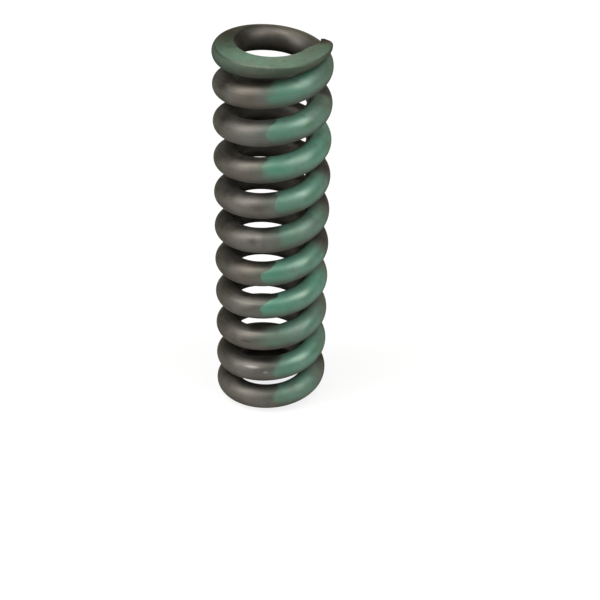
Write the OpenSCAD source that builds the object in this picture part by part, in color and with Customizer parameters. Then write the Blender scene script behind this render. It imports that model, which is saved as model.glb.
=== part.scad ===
// Helical compression spring: round wire, right-hand wound, closed and ground at both ends.
// Millimetres, +Z up along the coil axis, origin at the centre of the lower ground face.

/* [Wire] */
// Diameter of the round wire
wire_d = 4.8; // [4:0.1:5.4]
// Radius left on the edge of each sheared wire end
tip_round = 1.8; // [0.3:0.1:1.9]
// Share of the wire's inner half that the shear cut takes at each end
tip_cut = 0.85; // [0:0.05:0.9]
// Length of the lip that the shear cut leaves on the outer half
tip_lip = 2.4; // [2:0.1:3]
// Length over which the shear cut runs in before the lip
tip_cut_run = 3.2; // [1:0.1:4]

/* [Coil] */
// Outside diameter over the coils
outer_d = 22.2; // [19:0.1:28]
// Free length between the two ground faces
free_length = 76; // [68:0.5:95]
// Number of coils from one wire tip to the other
total_turns = 11; // [8:0.25:12.25]

/* [Ends] */
// Coils at each end that are wound down onto the next one
closed_turns = 0.95; // [0.75:0.05:1.5]
// Gap left between a closed coil and the next one
closed_gap = 0.25; // [0.1:0.05:0.8]
// Turns over which the pitch opens from closed to full
pitch_blend = 0.4; // [0.1:0.1:1]
// Thickness of wire left at each tip after grinding
tip_thickness = 1.4; // [0.8:0.1:2]
// How far each wire tip springs outward
tip_flare = 0.3; // [0:0.05:0.6]
// Arc over which the tip springs outward, in degrees
tip_flare_arc = 60; // [15:1:75]
// Direction of the upper wire tip, in degrees from +X
tip_angle = 11; // [0:1:359]

/* [Hidden] */

// Facets of the sweep: rings in a turn, sides of the wire, rings on each rounded end and shear cut
steps_per_turn = 28;
wire_sides = 18;
tip_steps = 5;
cut_steps = 4;
// Part of a turn over which the wire's direction is taken
tangent_step = 0.001;

wire_r = wire_d / 2;
coil_r = outer_d / 2 - wire_r;
turn_length = 2 * PI * coil_r;
closed_pitch = wire_d + closed_gap;
open_turns = total_turns - 2 * closed_turns;

// The wire's centre lies this far outside a ground face at the tip
tip_overrun = wire_r - tip_thickness;
open_pitch = (free_length + 2 * tip_overrun - 2 * closed_turns * closed_pitch) / open_turns;

function unit(v) = v / norm(v);

// Integral of a slope that grows from 0 to 1 over the pitch blend, centred on x = 0
function blend_rise(x) =
    x <= -pitch_blend / 2 ? 0
    : x >= pitch_blend / 2 ? x
    : pow(x + pitch_blend / 2, 2) / (2 * pitch_blend);

function turns_from_tip(t) = min(t, total_turns - t);

// Height of the wire's centre after t turns from the lower tip
function centre_z(t) =
    -tip_overrun + closed_pitch * t
    + (open_pitch - closed_pitch)
      * (blend_rise(t - closed_turns) - blend_rise(t - total_turns + closed_turns));

function centre_r(t) =
    coil_r + tip_flare * pow(max(0, 1 - turns_from_tip(t) * 360 / tip_flare_arc), 2);

function centre(t) =
    let (a = tip_angle + 360 * (t - total_turns))
    [centre_r(t) * cos(a), centre_r(t) * sin(a), centre_z(t)];

// Radius of the wire, which rounds off at its two sheared ends
function section_r(t) =
    let (x = turns_from_tip(t) * turn_length)
    x >= tip_round ? wire_r : wire_r - tip_round + sqrt(max(0, x * (2 * tip_round - x)));

// Share of the wire's inner half that is cut away
function cut_share(t) =
    let (x = (tip_lip + tip_cut_run - turns_from_tip(t) * turn_length) / tip_cut_run)
    tip_cut * pow(min(1, max(0, x)), 2);

// Ring of points around the wire, square to its path
function section(t) =
    let (
        c = centre(t),
        along = unit(centre(t + tangent_step) - centre(t - tangent_step)),
        out = unit(cross(along, [0, 0, 1])),
        up = cross(out, along)
    )
    [for (i = [0:wire_sides - 1])
        let (a = 360 * i / wire_sides)
        c + section_r(t) * (max(cos(a), cut_share(t) - 1) * out + sin(a) * up)];

// Places along the wire, in turns: close together on the rounded and cut ends, even between them
tip_length = tip_lip + tip_cut_run;
tip_turns = concat(
    [for (i = [0:tip_steps - 1]) tip_round * (1 - cos(90 * i / tip_steps)) / turn_length],
    [for (i = [0:cut_steps - 1]) (tip_round + (tip_length - tip_round) * i / cut_steps) / turn_length]
);
body_start = tip_length / turn_length;
body_steps = round((total_turns - 2 * body_start) * steps_per_turn);
body_turns = [for (i = [0:body_steps])
    body_start + (total_turns - 2 * body_start) * i / body_steps];
stations = concat(
    tip_turns,
    body_turns,
    [for (i = [len(tip_turns) - 1:-1:0]) total_turns - tip_turns[i]]
);

// The wire as it comes off the coiler, with both ends still round
module coiled_wire() {
    rings = len(stations);
    points = [for (t = stations) each section(t)];
    sides = [for (k = [0:rings - 2], i = [0:wire_sides - 1])
        let (
            j = (i + 1) % wire_sides,
            low = k * wire_sides,
            high = low + wire_sides
        )
        each [[low + i, low + j, high + j], [low + i, high + j, high + i]]];
    first_end = [for (i = [wire_sides - 1:-1:0]) i];
    last_end = [for (i = [0:wire_sides - 1]) (rings - 1) * wire_sides + i];
    polyhedron(points, concat(sides, [first_end, last_end]), convexity = 12);
}

// What grinding leaves: the slab between the two ground faces
module ground_slab() {
    translate([-outer_d, -outer_d, 0])
        cube([2 * outer_d, 2 * outer_d, free_length]);
}

module coil_spring() {
    color([0.29, 0.28, 0.26])
        intersection() {
            coiled_wire();
            ground_slab();
        }
}

coil_spring();
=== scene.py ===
import math

import bpy
from mathutils import Matrix, Vector


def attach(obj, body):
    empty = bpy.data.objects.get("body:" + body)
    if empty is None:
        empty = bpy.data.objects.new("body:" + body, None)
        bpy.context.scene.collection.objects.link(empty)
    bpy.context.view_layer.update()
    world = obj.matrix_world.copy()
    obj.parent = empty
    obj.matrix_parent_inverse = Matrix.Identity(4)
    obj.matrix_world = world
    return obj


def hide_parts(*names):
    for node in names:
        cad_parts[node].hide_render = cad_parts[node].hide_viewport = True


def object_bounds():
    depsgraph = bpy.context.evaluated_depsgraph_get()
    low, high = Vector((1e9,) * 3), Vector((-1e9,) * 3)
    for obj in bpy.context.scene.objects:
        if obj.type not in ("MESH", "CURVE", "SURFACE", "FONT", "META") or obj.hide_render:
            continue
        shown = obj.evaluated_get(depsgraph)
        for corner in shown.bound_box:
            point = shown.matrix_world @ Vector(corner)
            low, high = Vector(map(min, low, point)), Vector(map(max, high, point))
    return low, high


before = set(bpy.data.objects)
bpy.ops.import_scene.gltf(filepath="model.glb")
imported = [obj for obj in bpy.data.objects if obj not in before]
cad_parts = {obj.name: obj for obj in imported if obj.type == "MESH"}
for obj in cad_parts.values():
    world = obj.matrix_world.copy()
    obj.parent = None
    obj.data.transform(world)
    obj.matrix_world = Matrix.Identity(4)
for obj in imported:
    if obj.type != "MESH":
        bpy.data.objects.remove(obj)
cad_low, cad_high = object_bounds()

# The coil's own law, in metres, turns and degrees. Its height and width come from the CAD model's bounds.
MM = 0.001
FREE_LENGTH = cad_high.z
WIRE_R = 2.4 * MM
COIL_R = min(-cad_low.x, -cad_low.y, cad_high.y) - WIRE_R
TOTAL_TURNS = 11
CLOSED_TURNS = 0.95
CLOSED_PITCH = 2 * WIRE_R + 0.25 * MM
PITCH_BLEND = 0.4
TIP_OVERRUN = WIRE_R - 1.4 * MM
TIP_ROUND = 1.8 * MM
TIP_CUT = 0.85
TIP_LIP = 2.4 * MM
TIP_CUT_RUN = 3.2 * MM
TIP_FLARE = 0.28 * MM
TIP_FLARE_ARC = 60
TIP_ANGLE = 11
TURN_LENGTH = 2 * math.pi * COIL_R
OPEN_TURNS = TOTAL_TURNS - 2 * CLOSED_TURNS
OPEN_PITCH = (FREE_LENGTH + 2 * TIP_OVERRUN - 2 * CLOSED_TURNS * CLOSED_PITCH) / OPEN_TURNS
TANGENT_STEP = 0.001

# Where the coils lie lower than an even pitch would put them: turn and drop, each over part of a turn
WINDING_SAGS = [(7.22, 0.3 * MM), (4.22, 0.1 * MM), (3.22, 0.2 * MM), (2.22, 0.2 * MM)]
SAG_TURNS = 0.2

# How the wire is drawn: rings in a turn and over a rounded tip, the first of those that is drawn,
# and points in a ring, some of them on each half of its upper edge
STEPS_PER_TURN = 96
TIP_STEPS = 12
FIRST_TIP_STEP = 3
RING_POINTS = 48
RING_STEP = 2 * math.pi / RING_POINTS
EDGE_POINTS = 10
EDGE_START = math.pi / 2 - EDGE_POINTS * RING_STEP
SMOOTH_ANGLE = math.radians(40)

# The rounded rims that grinding leaves: radii, the most they take of the wire's height that is left,
# and how many times closer together the points are on them
OUTER_RIM = 0.4 * MM
INNER_RIM = 0.15 * MM
RIM_SHARE = 0.4
RIM_WEIGHT = 5

# The wire's flat map: strips one above the other with room between them, and the two end faces on top
MAP_STRIPS = 6
MAP_END_ROW = 0.4
MAP_ROW = 1 / (MAP_STRIPS + MAP_END_ROW)
MAP_ROOM = 0.01
MAP_END_R = 0.15 * MAP_ROW
MAP_END_HEIGHT = 1 - MAP_END_ROW / 2 * MAP_ROW
MAP_LOWER_END = 0.25
MAP_UPPER_END = 0.75

# Colours
WHITE = (1, 1, 1, 1)
STEEL_DARK = (0.093, 0.083, 0.069, 1)
STEEL_MID = (0.152, 0.145, 0.13, 1)
STEEL_PALE = (0.208, 0.205, 0.195, 1)
STEEL_BROWN = (0.117, 0.1, 0.082, 1)
STEEL_OLIVE = (0.094, 0.088, 0.06, 1)
# Painted shade: darker steel for the coil's inner side
STEEL_INNER_SHADE = (0.055, 0.05, 0.044, 1)
# Pale steel for rubbed spots, also used for a painted highlight
STEEL_RUBBED_AND_GLINT = (0.36, 0.35, 0.33, 1)
STEEL_NICKED = (0.04, 0.037, 0.032, 1)
GROUND_DARK = (0.16, 0.145, 0.115, 1)
GROUND_PALE = (0.25, 0.225, 0.18, 1)
GROUND_STAINED = (0.066, 0.063, 0.05, 1)
PAINT_FRESH = (0.04, 0.182, 0.12, 1)
PAINT_DEEP = (0.047, 0.165, 0.098, 1)
PAINT_PALE = (0.1, 0.256, 0.19, 1)
# Painted light: paler paint for the tops of the wire
PAINT_LIT_TOP = (0.14, 0.34, 0.255, 1)
# Soil on the paint, also used as painted shade on its far side and underside
PAINT_SOIL_AND_SHADE = (0.078, 0.08, 0.056, 1)
# Painted shade: darker colour for the rim below the upper ground face
RIM_SHADE = (0.035, 0.045, 0.03, 1)
TOP_STAIN = (0.04, 0.076, 0.047, 1)
TOP_STAIN_BROWN = (0.098, 0.088, 0.064, 1)

# Patchy finishes: features per millimetre, detail, and the noise at which they begin and are full
NOISE_ROUGHNESS = 0.6
MOTTLE = (0.3, 3, 0.2, 0.72)
BROWN_PATCHES = (0.13, 4, 0.46, 0.66)
OLIVE_PATCHES = (0.08, 4, 0.5, 0.68)
PAINT_CLOUDS = (0.4, 5, 0.32, 0.68)
PAINT_WEAR = (0.4, 3, 0.5, 0.75)
END_STAIN = (0.3, 3, 0.08, 0.86)

# Fine lines, drawn along the wire and ground across its ends: features per unit, detail and stretch.
# Then the noise at which a drawn line begins to be paler, and is.
DRAWN_LINES = (2.2, 3, (1, 1, 0.03))
GROUND_LINES = (3 / MM, 3, (1, 0.06, 1))
PALE_LINES = (0.52, 0.72)

# How strongly each finish shows at most. The inner side's and the rim's shares are painted shade, the
# top's is painted light.
BROWN_SHARE = 0.6
OLIVE_SHARE = 0.7
PALE_LINE_SHARE = 0.32
INNER_SHADE_SHARE = 0.75
FRESH_SHARE = 0.75
LIT_TOP_SHARE = 0.75
WEAR_SHARE = 0.4
UNDERSIDE_WEAR = 0.5
TOP_PAINT = 0.92
RIM_SHADE_SHARE = 0.5

# Where finishes fade in, in millimetres outwards or upwards from the middle of the wire. The inner side
# and the underside take painted shade, the top of the wire painted light.
SHADED_INNER_SIDE = (0.6, -1.6)
OUTER_SIDE = (-1.4, -0.4)
LIT_TOP = (1.3, 2.3)
SHADED_UNDERSIDE = (0.3, -1.7)
WORN_UNDERSIDE = (0.4, -1.9)

# Where finishes fade in, in degrees right of the front, either side of it, or past the paint's start. The
# far side takes painted shade.
FAR_SIDE = (45, 90)
BACK = (70, 125)
FRESH_PAINT = (38, 4)
PAINT_FILM = (-18, 6)

# The paint mark on each coil, from the top. In degrees right of the front: where it starts, over
# how many it fades in, where it ends, over how many it fades out, and how far its start leans back
# over the top of the wire. Then as shares: its thickness, the film left of it, and its soil.
MARK_PARTS = ("start", "start_fade", "end", "end_fade", "lean", "thickness", "film", "soil")
PAINT_MARKS = [
    (-80, 80, 88, 9, 0, 0.55, 0, 0.34),
    (-6, 18, 105, 20, 6, 0.9, 0.2, 0.1),
    (-3, 3, 84, 10, 4, 0.9, 0.3, 0.15),
    (-9, 9, 105, 20, 4, 0.97, 0.2, 0),
    (3, 3, 74, 26, 2, 0.9, 0.3, 0.1),
    (5, 20, 80, 25, 4, 0.85, 0.4, 0.2),
    (-9, 3, 68, 26, 14, 0.92, 0.15, 0.05),
    (-9, 3, 95, 25, 18, 0.97, 0.15, 0),
    (-7, 22, 100, 25, 8, 0.85, 0.3, 0.2),
    (4, 8, 100, 25, 6, 0.9, 0.3, 0.05),
    (2, 8, 80, 25, 6, 0.85, 0.3, 0.2),
]

# The marks are read from colour ramps along the wire, each value packed between 0 and 1
FRONT_TURN = TOTAL_TURNS - (90 + TIP_ANGLE) / 360
RAMP_TURNS = TOTAL_TURNS + 1
RAMP_SPAN = 360
RAMP_CHANNELS = 4

# How the ends of a mark wander: features per millimetre and degrees each way. Its start leans back
# above a share of the wire's radius, and curls by some degrees below it.
START_WANDER = (0.25, 10)
END_WANDER = (0.3, 12)
WANDER_DETAIL = 3
LEAN_FROM = 0.3
START_CURL = 3

# Soil on the paint, with painted shade on its far side and underside: how much on the far side, the upper
# face and the underside, its noise, and where that shows
FAR_SIDE_SHADE = 0.4
TOP_SOIL = 0.05
UNDERSIDE_SHADE = 0.4
SOIL_NOISE = (0.22, 3)
SOIL_SHOWS = (0.45, 1.25)

# Stain on the upper end coil: where it fades in, in turns from the tip, and the tip's brown, in mm from it
STAIN_START = (1.2, 0.9)
BROWN_TIP = (3.5, 1)

# Nicks and rubbed spots, and one painted highlight: turn, height on the wire, half length and half height
# in mm, colour and share.
# Each fades between two distances from its middle, with 1 its own half size.
NICKS_AND_GLINT = [
    (5.685, 1.1, 0.7, 1.6, STEEL_RUBBED_AND_GLINT, 0.12),
    (2.647, 0.5, 1.3, 0.22, STEEL_NICKED, 0.6),
    (1.705, 0.72, 0.45, 0.3, STEEL_RUBBED_AND_GLINT, 0.45),
    # A painted highlight: a pale glint high on the wire of the tenth coil from the top
    (1.664, 1.56, 1.4, 0.35, STEEL_RUBBED_AND_GLINT, 0.55),
]
NICK_AND_GLINT_EDGE = (1.2, 0.4)

# Heights over which a ground face runs out into the round wire, and below it where the rim is darkened as
# painted shade
GROUND_FADE = 0.06 * MM
SHADED_RIM = (OUTER_RIM, 0.3 * OUTER_RIM)

# Gloss: how metallic bare steel is, its tint at the edges, how much its highlight spreads, the part of a
# turn that sets this spread across the drawn lines, and the paint's IOR
BARE_METALLIC = 0.94
SHEEN = (0.25, 0.265, 0.225, 1)
HIGHLIGHT_SPREAD = 0.35
HIGHLIGHT_TURN = 0.25
PAINT_IOR = 3.2

# Roughness of steel and of ground faces, and what mottle, paint, soil and a grazing view add to it
STEEL_ROUGH = 0.42
GROUND_ROUGH = 0.6
MOTTLE_ROUGH = 0.16
PAINT_ROUGH = -0.15
SOIL_ROUGH = 0.4
GRAZING_ROUGH = 0.4
GRAZING = (0.45, 0.95)

# Relief: how far paint stands proud of the steel, and the drawn lines as a share of that
PAINT_RELIEF = 0.03 * MM
DRAWN_RELIEF = 0.12

# Studio light: each softbox's name, degrees right of the front, elevation, radiance, width and height
SOFTBOX_DISTANCE = 1.6
SOFTBOXES = [
    ("left_softbox", -74, 55, 7, 0.7, 2.2),
    ("right_softbox", 64, 63, 8.2, 0.5, 2.2),
    ("front_softbox", 0, 45, 0.4, 2.4, 1.4),
]
HORIZON_GLOW = 0.05
ZENITH_GLOW = 0.25
ROOM_GLOW = (1, 0.95, 0.86, 1)
WHITE_HORIZON = (0.12, 0.04)

# The floor: its size, how far it lies below the spring, its grey, and the white that the camera sees,
# which grows further off, between two distances
FLOOR_SIZE = 8
FLOOR_DROP = 0.02 * MM
FLOOR_GREY = (0.14, 0.14, 0.138, 1)
FLOOR_WHITE = 0.82
FAR_FLOOR_WHITE = 0.16
FAR_FLOOR = (0.5, 3)

# Where the photograph was taken from: measured from the middle of the upper face
EYE_DISTANCE = 266.4 * MM
EYE_ELEVATION = 23.62
EYE_AIM = Vector((5.757 * MM, 0, 20.257 * MM))
EYE_ROLL = 1.084
EYE_CLIP = 1 * MM
SENSOR = 36
LENS = 87.49


def blend_rise(x):
    """How far the open pitch has taken over, x turns past the middle of the blend."""
    half = PITCH_BLEND / 2
    if x <= -half:
        return 0
    if x >= half:
        return x
    return (x + half) ** 2 / (2 * PITCH_BLEND)


def centre_z(turn):
    """Height of the wire's centre."""
    opened = blend_rise(turn - CLOSED_TURNS) - blend_rise(turn - TOTAL_TURNS + CLOSED_TURNS)
    sag = sum(drop * math.exp(-((turn - lowest) / SAG_TURNS) ** 2) for lowest, drop in WINDING_SAGS)
    return -TIP_OVERRUN + CLOSED_PITCH * turn + (OPEN_PITCH - CLOSED_PITCH) * opened - sag


def centre_r(turn):
    """Distance of the wire's centre from the coil's axis, wider towards the tips."""
    arc = min(turn, TOTAL_TURNS - turn) * 360
    return COIL_R + TIP_FLARE * max(0, 1 - arc / TIP_FLARE_ARC) ** 2


def centre(turn):
    """The wire's centre."""
    angle = math.radians(TIP_ANGLE + 360 * (turn - TOTAL_TURNS))
    return Vector((centre_r(turn) * math.cos(angle), centre_r(turn) * math.sin(angle), centre_z(turn)))


def from_tip(turn):
    """Length of wire to the nearer tip."""
    return min(turn, TOTAL_TURNS - turn) * TURN_LENGTH


def section_r(turn):
    """Radius of the wire's section, less over the rounded tips."""
    length = from_tip(turn)
    if length >= TIP_ROUND:
        return WIRE_R
    return WIRE_R - TIP_ROUND + math.sqrt(max(0, length * (2 * TIP_ROUND - length)))


def cut_share(turn):
    """Share of the wire's inner half that the shear cut takes."""
    run = (TIP_LIP + TIP_CUT_RUN - from_tip(turn)) / TIP_CUT_RUN
    return TIP_CUT * min(1, max(0, run)) ** 2


def upper_edge(radius, height, rim):
    """Half of a section's top, from its side to the middle, ground off at a height above its centre."""
    height = min(height, radius)
    rim = min(rim, RIM_SHARE * (radius + height))
    inside = radius - rim
    lean = math.asin((height - rim) / inside)
    start = min(EDGE_START, lean)
    arc = radius * (lean - start)
    curve = rim * (math.pi / 2 - lean) * RIM_WEIGHT
    flat = inside * math.cos(lean)
    points = []
    for i in range(EDGE_POINTS + 1):
        gone = (arc + curve + flat) * i / EDGE_POINTS
        if gone < arc:
            angle = start + gone / radius
            points.append((radius * math.cos(angle), radius * math.sin(angle)))
        elif gone < arc + curve:
            angle = lean + (gone - arc) / (rim * RIM_WEIGHT)
            points.append((flat + rim * math.cos(angle), height - rim + rim * math.sin(angle)))
        else:
            points.append((arc + curve + flat - gone, height))
    return points


def section(radius, height):
    """A section's outline, outwards and upwards.

    It runs from the outer side down, round the inner side and back over the ground top.
    """
    outer = upper_edge(radius, height, OUTER_RIM)
    inner = upper_edge(radius, height, INNER_RIM)
    start = math.atan2(outer[0][1], outer[0][0])
    end = math.atan2(inner[0][1], inner[0][0])
    below = RING_POINTS - 2 * EDGE_POINTS
    angles = [start - (math.pi + start + end) * i / below for i in range(below)]
    outline = [(radius * math.cos(angle), radius * math.sin(angle)) for angle in angles]
    return outline + [(-out, up) for out, up in inner[:-1]] + outer[:0:-1]


def ring(turn):
    """The wire's section at a turn: each point and its place outwards and upwards in the section."""
    middle = centre(turn)
    along = (centre(turn + TANGENT_STEP) - centre(turn - TANGENT_STEP)).normalized()
    outwards = along.cross(Vector((0, 0, 1))).normalized()
    upwards = outwards.cross(along)
    if turn > TOTAL_TURNS / 2:
        outline = section(section_r(turn), (FREE_LENGTH - middle.z) / upwards.z)
    else:
        # The lower half is ground from below: the same outline upside down, with its points in step
        turned = section(section_r(turn), middle.z / upwards.z)
        first = round(2 * EDGE_START / RING_STEP)
        outline = [(turned[first - i][0], -turned[first - i][1]) for i in range(RING_POINTS)]
    kept = 1 - cut_share(turn)
    outline = [(out if out > 0 else out * kept, up) for out, up in outline]
    return [(middle + outwards * out + upwards * up, out, up) for out, up in outline]


def ring_turns():
    """The turns at which the wire is drawn, closer together over the tips."""
    tip = []
    for i in range(FIRST_TIP_STEP, TIP_STEPS):
        tip.append(TIP_ROUND * (1 - math.cos(math.pi / 2 * i / TIP_STEPS)) / TURN_LENGTH)
    first = TIP_ROUND / TURN_LENGTH
    count = TOTAL_TURNS * STEPS_PER_TURN
    body = [first + (TOTAL_TURNS - 2 * first) * i / count for i in range(count + 1)]
    return tip + body + [TOTAL_TURNS - turn for turn in reversed(tip)]


def strip_corner(strip, along, round_wire):
    """A place on one of the flat map's strips; both shares go from 0 to 1."""
    across = MAP_ROOM + (1 - 2 * MAP_ROOM) * along
    up = MAP_ROW * (strip + 0.5) + (MAP_ROW - MAP_ROOM) * (0.5 - round_wire)
    return across, up


def lay_out_map(mesh, ring_count):
    """Lays the wire's surface out flat for baked textures: along it to the right, round it downwards."""
    steps = math.ceil((ring_count - 1) / MAP_STRIPS)
    places = mesh.uv_layers.new(name="OFBake").data
    for face in mesh.polygons:
        if len(face.vertices) == RING_POINTS:
            across = MAP_LOWER_END if face.vertices[0] < RING_POINTS else MAP_UPPER_END
            angles = [RING_STEP * i for i in range(RING_POINTS)]
            middle = Vector((across, MAP_END_HEIGHT))
            flat = [middle + MAP_END_R * Vector((math.cos(angle), math.sin(angle))) for angle in angles]
        else:
            strip, step = divmod(face.index // RING_POINTS, steps)
            side = face.index % RING_POINTS
            corners = ((step, side), (step, side + 1), (step + 1, side + 1), (step + 1, side))
            flat = [strip_corner(strip, x / steps, y / RING_POINTS) for x, y in corners]
        for corner, place in zip(face.loop_indices, flat):
            places[corner].uv = place


def wind_wire():
    """Winds the wire with its ground ends, and notes each point's place on it for the material.

    It is drawn section by section, because a bevelled path gives neither the rounded rims of the
    ground faces nor the lips of the sheared tips. The place is that on the wire pulled straight,
    in millimetres: outwards, upwards and along.
    """
    turns = ring_turns()
    points = []
    places = []
    for turn in turns:
        for point, out, up in ring(turn):
            points.append(point)
            places.append(Vector((out, up, turn * TURN_LENGTH)) / MM)
    faces = []
    for first in range(0, len(points) - RING_POINTS, RING_POINTS):
        for i in range(RING_POINTS):
            j = (i + 1) % RING_POINTS
            faces.append((first + i, first + j, first + RING_POINTS + j, first + RING_POINTS + i))
    faces.append(tuple(reversed(range(RING_POINTS))))
    faces.append(tuple(range(len(points) - RING_POINTS, len(points))))
    mesh = bpy.data.meshes.new("wound_wire")
    mesh.from_pydata(points, [], faces)
    run = mesh.attributes.new("wire_run", "FLOAT_VECTOR", "POINT")
    for noted, place in zip(run.data, places):
        noted.vector = place
    lay_out_map(mesh, len(turns))
    wire = bpy.data.objects.new("wound_wire", mesh)
    bpy.context.collection.objects.link(wire)
    bpy.ops.object.select_all(action="DESELECT")
    bpy.context.view_layer.objects.active = wire
    wire.select_set(True)
    bpy.ops.object.shade_smooth_by_angle(angle=SMOOTH_ANGLE)
    return wire


def feed(tree, socket, value):
    """Links a socket, or sets it to a plain value."""
    if isinstance(value, bpy.types.NodeSocket):
        tree.links.new(value, socket)
    else:
        socket.default_value = value


def add_node(tree, kind, settings=None, **inputs):
    """Adds a node; inputs are fed by name, with _ for a space."""
    made = tree.nodes.new(kind)
    for name, value in (settings or {}).items():
        setattr(made, name, value)
    for name, value in inputs.items():
        feed(tree, made.inputs[name.replace("_", " ")], value)
    return made


def maths(tree, operation, *values):
    """One step of arithmetic."""
    made = add_node(tree, "ShaderNodeMath", {"operation": operation})
    for socket, value in zip(made.inputs, values):
        feed(tree, socket, value)
    return made.outputs[0]


def vector_length(tree, vector):
    """How long a vector is."""
    made = add_node(tree, "ShaderNodeVectorMath", {"operation": "LENGTH"})
    tree.links.new(vector, made.inputs[0])
    return made.outputs["Value"]


def split(tree, vector):
    """The three parts of a vector."""
    return add_node(tree, "ShaderNodeSeparateXYZ", Vector=vector).outputs


def fade(tree, value, low, high):
    """Rises smoothly from 0 to 1 while value goes from low to high."""
    smooth = {"interpolation_type": "SMOOTHSTEP"}
    made = add_node(tree, "ShaderNodeMapRange", smooth, Value=value, From_Min=low, From_Max=high)
    return made.outputs["Result"]


def mix_colour(tree, mask, below, above, share=1):
    """One colour over another, up to a share of it where the mask is full."""
    if share != 1:
        mask = maths(tree, "MULTIPLY", mask, share)
    made = add_node(tree, "ShaderNodeMix", {"data_type": "RGBA"})
    # The node has sockets for other kinds of value too: inputs 6 and 7 and output 2 are its colours
    feed(tree, made.inputs[0], mask)
    feed(tree, made.inputs[6], below)
    feed(tree, made.inputs[7], above)
    return made.outputs[2]


def noise(tree, place, scale, detail, stretch=(1, 1, 1)):
    """Cloudy noise with `scale` features per unit of place."""
    mapped = add_node(tree, "ShaderNodeMapping", Vector=place, Scale=tuple(scale * s for s in stretch))
    made = add_node(
        tree,
        "ShaderNodeTexNoise",
        Vector=mapped.outputs[0],
        Scale=1,
        Detail=detail,
        Roughness=NOISE_ROUGHNESS,
    )
    return made.outputs["Fac"]


def patches(tree, place, scale, detail, low, high):
    """Patches with soft edges."""
    return fade(tree, noise(tree, place, scale, detail), low, high)


def wander(tree, run, scale, degrees):
    """An uneven shift of some degrees either way."""
    return maths(tree, "MULTIPLY_ADD", noise(tree, run, scale, WANDER_DETAIL), 2 * degrees, -degrees)


def seen_rays(tree):
    """1 for what the camera sees, straight or by a reflection, and 0 for light that falls on things."""
    rays = add_node(tree, "ShaderNodeLightPath").outputs
    seen = maths(tree, "MAXIMUM", rays["Is Camera Ray"], rays["Is Glossy Ray"])
    return maths(tree, "MAXIMUM", seen, rays["Is Transmission Ray"])


def start_material(name):
    """A material with its tree and its Principled shader."""
    material = bpy.data.materials.new(name)
    material.use_nodes = True
    return material, material.node_tree, material.node_tree.nodes["Principled BSDF"]


def right_of_front(tree):
    """Degrees right of the front, as seen along the coil's axis."""
    x, y, _ = split(tree, add_node(tree, "ShaderNodeTexCoord").outputs["Object"])
    return maths(tree, "DEGREES", maths(tree, "ARCTAN2", x, maths(tree, "MULTIPLY", y, -1)))


def coil_mark(tree, run):
    """The values of the paint mark on the coil that a point is on, by name."""
    turn = maths(tree, "DIVIDE", split(tree, run)["Z"], TURN_LENGTH / MM * RAMP_TURNS)
    values = []
    for first in range(0, len(MARK_PARTS), RAMP_CHANNELS):
        ramp = add_node(tree, "ShaderNodeValToRGB", Fac=turn)
        ramp.color_ramp.interpolation = "CONSTANT"
        stops = ramp.color_ramp.elements
        for coil, mark in reversed(list(enumerate(PAINT_MARKS))):
            place = max(0, FRONT_TURN - coil - 0.5) / RAMP_TURNS
            stop = stops[0] if coil == len(PAINT_MARKS) - 1 else stops.new(place)
            stop.position = place
            stop.color = [value / RAMP_SPAN + 0.5 for value in mark[first:first + RAMP_CHANNELS]]
        stops.remove(stops[-1])
        parts = add_node(tree, "ShaderNodeSeparateColor", Color=ramp.outputs["Color"]).outputs
        for packed in (*parts, ramp.outputs["Alpha"]):
            values.append(maths(tree, "MULTIPLY", maths(tree, "SUBTRACT", packed, 0.5), RAMP_SPAN))
    return dict(zip(MARK_PARTS, values))


def steel_colour(tree, run, mottle, drawn):
    """Dark oxide on drawn wire: mottled, brown and olive in places, with paler lines along it, and darker
    on the coil's inner side as painted shade.
    """
    outwards, _, _ = split(tree, run)
    steel = mix_colour(tree, mottle, STEEL_DARK, STEEL_MID)
    steel = mix_colour(tree, patches(tree, run, *BROWN_PATCHES), steel, STEEL_BROWN, BROWN_SHARE)
    steel = mix_colour(tree, patches(tree, run, *OLIVE_PATCHES), steel, STEEL_OLIVE, OLIVE_SHARE)
    steel = mix_colour(tree, fade(tree, drawn, *PALE_LINES), steel, STEEL_PALE, PALE_LINE_SHARE)
    # Painted shade: the steel darkens towards the inside of the coil
    return mix_colour(tree, fade(tree, outwards, *SHADED_INNER_SIDE), steel, STEEL_INNER_SHADE, INNER_SHADE_SHARE)


def ground_colour(tree, place, on_top):
    """Steel with the lines of grinding, bare at the lower end and darkened at the upper one."""
    bare = mix_colour(tree, noise(tree, place, *GROUND_LINES), GROUND_DARK, GROUND_PALE)
    return mix_colour(tree, on_top, bare, GROUND_STAINED)


def nick_and_glint_steel(tree, run, steel):
    """The steel with its nicks, its rubbed spots and one painted highlight."""
    for turn, height, half_length, half_height, colour, share in NICKS_AND_GLINT:
        outwards = math.sqrt((WIRE_R / MM) ** 2 - height ** 2)
        scale = Vector((1 / half_height, 1 / half_height, 1 / half_length))
        middle = Vector((outwards, height, turn * TURN_LENGTH / MM))
        moved = add_node(tree, "ShaderNodeMapping", Vector=run, Scale=scale, Location=-middle * scale)
        distance = vector_length(tree, moved.outputs[0])
        steel = mix_colour(tree, fade(tree, distance, *NICK_AND_GLINT_EDGE), steel, colour, share)
    return steel


def past_paint_start(tree, run, mark):
    """Degrees to the right of the paint mark's start."""
    _, upwards, _ = split(tree, run)
    rest = 1 - LEAN_FROM
    over = maths(tree, "MULTIPLY_ADD", upwards, MM / WIRE_R / rest, -LEAN_FROM / rest)
    above = maths(tree, "MAXIMUM", over, 0)
    below = maths(tree, "MINIMUM", over, 0)
    bow = maths(tree, "MULTIPLY", maths(tree, "MULTIPLY", above, above), mark["lean"])
    bow = maths(tree, "MULTIPLY_ADD", maths(tree, "MULTIPLY", below, below), START_CURL, bow)
    wandered = maths(tree, "ADD", right_of_front(tree), wander(tree, run, *START_WANDER))
    return maths(tree, "SUBTRACT", maths(tree, "SUBTRACT", wandered, mark["start"]), bow)


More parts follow.
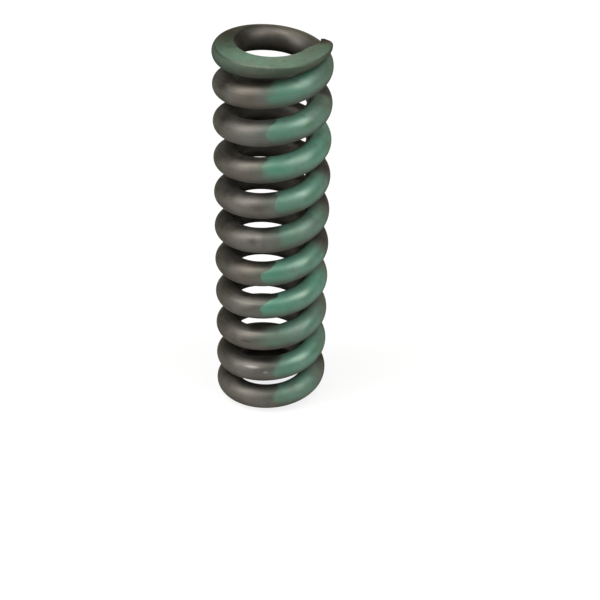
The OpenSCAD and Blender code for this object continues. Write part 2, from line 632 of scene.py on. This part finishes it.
def paint_cover(tree, run, on_top, facing, past_start, mark):
    """How much of the surface the paint hides."""
    _, upwards, _ = split(tree, run)
    before_end = maths(tree, "SUBTRACT", mark["end"], right_of_front(tree))
    before_end = maths(tree, "SUBTRACT", before_end, wander(tree, run, *END_WANDER))
    begun = fade(tree, maths(tree, "DIVIDE", past_start, mark["start_fade"]), -0.5, 0.5)
    going = fade(tree, maths(tree, "DIVIDE", before_end, mark["end_fade"]), -0.5, 0.5)
    unworn = maths(tree, "MULTIPLY_ADD", patches(tree, run, *PAINT_WEAR), -WEAR_SHARE, 1)
    laid = maths(tree, "MAXIMUM", mark["thickness"], maths(tree, "MULTIPLY", on_top, TOP_PAINT))
    solid = maths(tree, "MULTIPLY", begun, maths(tree, "MULTIPLY", laid, unworn))
    thin = maths(tree, "MULTIPLY", fade(tree, past_start, *PAINT_FILM), mark["film"])
    cover = maths(tree, "MULTIPLY", maths(tree, "MAXIMUM", solid, thin), going)
    unworn_below = maths(tree, "MULTIPLY_ADD", fade(tree, upwards, *WORN_UNDERSIDE), -UNDERSIDE_WEAR, 1)
    return maths(tree, "MULTIPLY", maths(tree, "MULTIPLY", cover, unworn_below), facing)


def paint_soil_and_shade(tree, run, on_top, mark):
    """Soil on the paint: patchy, with painted shade on the far side and the underside."""
    _, upwards, _ = split(tree, run)
    # Painted shade: darker towards the far side and the underside
    far = fade(tree, right_of_front(tree), *FAR_SIDE)
    far = maths(tree, "MULTIPLY", far, maths(tree, "SUBTRACT", 1, on_top))
    soil = maths(tree, "MULTIPLY_ADD", far, FAR_SIDE_SHADE, mark["soil"])
    soil = maths(tree, "MULTIPLY_ADD", on_top, TOP_SOIL, soil)
    soil = maths(tree, "MULTIPLY_ADD", fade(tree, upwards, *SHADED_UNDERSIDE), UNDERSIDE_SHADE, soil)
    return fade(tree, maths(tree, "ADD", noise(tree, run, *SOIL_NOISE), soil), *SOIL_SHOWS)


def paint_colour(tree, run, past_start, soil):
    """Green paint: fresh near its start, cloudy and soiled further on, and lighter on top of the wire as
    painted light.
    """
    _, upwards, _ = split(tree, run)
    green = mix_colour(tree, patches(tree, run, *PAINT_CLOUDS), PAINT_DEEP, PAINT_PALE)
    green = mix_colour(tree, fade(tree, past_start, *FRESH_PAINT), green, PAINT_FRESH, FRESH_SHARE)
    # Painted light: the paint is paler on top of the wire
    green = mix_colour(tree, fade(tree, upwards, *LIT_TOP), green, PAINT_LIT_TOP, LIT_TOP_SHARE)
    return mix_colour(tree, soil, green, PAINT_SOIL_AND_SHADE)


def stain_end_coil(tree, run, facing, surface):
    """The surface with the upper end coil's stain: green, but brown at the back and at the tip."""
    _, _, along = split(tree, run)
    end_coil = fade(tree, along, *((TOTAL_TURNS - turns) * TURN_LENGTH / MM for turns in STAIN_START))
    tip = fade(tree, along, *(TOTAL_TURNS * TURN_LENGTH / MM - left for left in BROWN_TIP))
    stain = maths(tree, "MULTIPLY", end_coil, patches(tree, run, *END_STAIN))
    stain = maths(tree, "MULTIPLY", stain, facing)
    behind = fade(tree, maths(tree, "ABSOLUTE", right_of_front(tree)), *BACK)
    colour = mix_colour(tree, maths(tree, "MAXIMUM", behind, tip), TOP_STAIN, TOP_STAIN_BROWN)
    return mix_colour(tree, stain, surface, colour)


def shade_rim(tree, height, on_top, surface):
    """The surface darkened on the rim of the upper ground face, as painted shade."""
    rim = fade(tree, height, *(FREE_LENGTH - below for below in SHADED_RIM))
    rim = maths(tree, "MULTIPLY", rim, maths(tree, "SUBTRACT", 1, on_top))
    return mix_colour(tree, rim, surface, RIM_SHADE, RIM_SHADE_SHARE)


def wire_roughness(tree, mottle, ground, cover, soil):
    """Satin steel and glossier paint, duller where it is soiled, ground or seen at a slant."""
    slant = add_node(tree, "ShaderNodeLayerWeight").outputs["Facing"]
    rough = maths(tree, "MULTIPLY_ADD", mottle, MOTTLE_ROUGH, STEEL_ROUGH)
    rough = maths(tree, "MULTIPLY_ADD", cover, PAINT_ROUGH, rough)
    rough = maths(tree, "MULTIPLY_ADD", maths(tree, "MULTIPLY", soil, cover), SOIL_ROUGH, rough)
    rough = maths(tree, "MULTIPLY_ADD", fade(tree, slant, *GRAZING), GRAZING_ROUGH, rough)
    return maths(tree, "MAXIMUM", rough, maths(tree, "MULTIPLY", ground, GROUND_ROUGH))


def oiled_wire():
    """Dark satin spring steel, ground at the ends, with a green paint mark down one side."""
    material, tree, shader = start_material("oiled_wire")
    run = add_node(tree, "ShaderNodeAttribute", {"attribute_name": "wire_run"}).outputs["Vector"]
    outwards, _, _ = split(tree, run)
    place = add_node(tree, "ShaderNodeTexCoord").outputs["Object"]
    _, _, height = split(tree, place)
    on_top = fade(tree, height, FREE_LENGTH - GROUND_FADE, FREE_LENGTH)
    ground = maths(tree, "MAXIMUM", on_top, fade(tree, height, GROUND_FADE, 0))
    facing = maths(tree, "MAXIMUM", fade(tree, outwards, *OUTER_SIDE), on_top)

    mottle = patches(tree, run, *MOTTLE)
    drawn = noise(tree, run, *DRAWN_LINES)
    steel = steel_colour(tree, run, mottle, drawn)
    steel = mix_colour(tree, ground, steel, ground_colour(tree, place, on_top))
    steel = nick_and_glint_steel(tree, run, steel)

    mark = coil_mark(tree, run)
    past_start = past_paint_start(tree, run, mark)
    cover = paint_cover(tree, run, on_top, facing, past_start, mark)
    # The soil mask also holds painted shade on the paint's far side and underside
    soil = paint_soil_and_shade(tree, run, on_top, mark)
    surface = mix_colour(tree, cover, steel, paint_colour(tree, run, past_start, soil))
    surface = stain_end_coil(tree, run, facing, surface)
    # Painted shade on the rim below the upper ground face
    surface = shade_rim(tree, height, on_top, surface)
    bare = maths(tree, "MULTIPLY_ADD", cover, -BARE_METALLIC, BARE_METALLIC)
    feed(tree, shader.inputs["Base Color"], surface)
    feed(tree, shader.inputs["Metallic"], bare)
    feed(tree, shader.inputs["Roughness"], wire_roughness(tree, mottle, ground, cover, soil))

    relief = maths(tree, "MULTIPLY_ADD", drawn, DRAWN_RELIEF, cover)
    bump = add_node(tree, "ShaderNodeBump", Strength=1, Distance=PAINT_RELIEF, Height=relief)
    feed(tree, shader.inputs["Normal"], bump.outputs["Normal"])
    along_wire = add_node(tree, "ShaderNodeTangent", {"direction_type": "RADIAL", "axis": "Z"})
    feed(tree, shader.inputs["Tangent"], along_wire.outputs["Tangent"])
    shader.inputs["Anisotropic"].default_value = HIGHLIGHT_SPREAD
    shader.inputs["Anisotropic Rotation"].default_value = HIGHLIGHT_TURN
    shader.inputs["IOR"].default_value = PAINT_IOR
    shader.inputs["Specular Tint"].default_value = SHEEN
    return material


def add_softbox(name, azimuth, elevation, radiance, width, height):
    """A soft light that faces the spring; azimuth is degrees right of the front."""
    a = math.radians(azimuth)
    e = math.radians(elevation)
    back = Vector((math.sin(a) * math.cos(e), -math.cos(a) * math.cos(e), math.sin(e)))
    middle = Vector((0, 0, FREE_LENGTH / 2))
    bpy.ops.object.light_add(type="AREA", location=middle + back * SOFTBOX_DISTANCE)
    light = bpy.context.object
    light.name = name
    light.rotation_euler = (-back).to_track_quat("-Z", "Y").to_euler()
    light.data.shape = "RECTANGLE"
    light.data.size = width
    light.data.size_y = height
    light.data.energy = radiance * math.pi * width * height


def lay_floor():
    """A pale floor that the camera sees as white, with the spring's shadow on it."""
    bpy.ops.mesh.primitive_plane_add(size=FLOOR_SIZE, location=(0, 0, -FLOOR_DROP))
    floor = bpy.context.object
    floor.name = "floor"
    material, tree, shader = start_material("pale_floor")
    tree.nodes.remove(shader)
    matt = add_node(tree, "ShaderNodeBsdfDiffuse", Color=FLOOR_GREY)
    distance = vector_length(tree, add_node(tree, "ShaderNodeTexCoord").outputs["Object"])
    far = fade(tree, distance, *FAR_FLOOR)
    white = maths(tree, "MULTIPLY_ADD", far, FAR_FLOOR_WHITE, FLOOR_WHITE)
    white = maths(tree, "MULTIPLY", seen_rays(tree), white)
    lift = add_node(tree, "ShaderNodeEmission", Color=WHITE, Strength=white)
    both = add_node(tree, "ShaderNodeAddShader")
    tree.links.new(matt.outputs[0], both.inputs[0])
    tree.links.new(lift.outputs[0], both.inputs[1])
    tree.links.new(both.outputs[0], tree.nodes["Material Output"].inputs["Surface"])
    floor.data.materials.append(material)


def add_world():
    """Soft warm light from all round, brighter from above; the horizon is seen as white."""
    world = bpy.data.worlds.new("studio")
    world.use_nodes = True
    tree = world.node_tree
    _, _, rise = split(tree, add_node(tree, "ShaderNodeTexCoord").outputs["Generated"])
    glow = add_node(tree, "ShaderNodeMapRange", Value=rise, To_Min=HORIZON_GLOW, To_Max=ZENITH_GLOW)
    white = maths(tree, "MULTIPLY", seen_rays(tree), fade(tree, rise, *WHITE_HORIZON))
    background = tree.nodes["Background"]
    feed(tree, background.inputs["Strength"], maths(tree, "MAXIMUM", glow.outputs["Result"], white))
    feed(tree, background.inputs["Color"], mix_colour(tree, white, ROOM_GLOW, WHITE))
    bpy.context.scene.world = world


def add_camera():
    """The photograph's point of view."""
    e = math.radians(EYE_ELEVATION)
    eye = Vector((0, -math.cos(e) * EYE_DISTANCE, FREE_LENGTH + math.sin(e) * EYE_DISTANCE))
    bpy.ops.object.camera_add(location=eye)
    camera = bpy.context.object
    aim = (EYE_AIM - eye).to_track_quat("-Z", "Y").to_matrix()
    roll = Matrix.Rotation(math.radians(EYE_ROLL), 3, "Z")
    camera.rotation_euler = (aim @ roll).to_euler()
    camera.data.sensor_width = SENSOR
    camera.data.lens = LENS
    camera.data.clip_start = EYE_CLIP
    bpy.context.scene.camera = camera


bpy.context.scene.view_settings.view_transform = "Standard"
wire = wind_wire()
wire.data.materials.append(oiled_wire())
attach(wire, "root")
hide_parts("coil_spring")
lay_floor()
add_world()
for softbox in SOFTBOXES:
    add_softbox(*softbox)
add_camera()

bpy.context.view_layer.update()
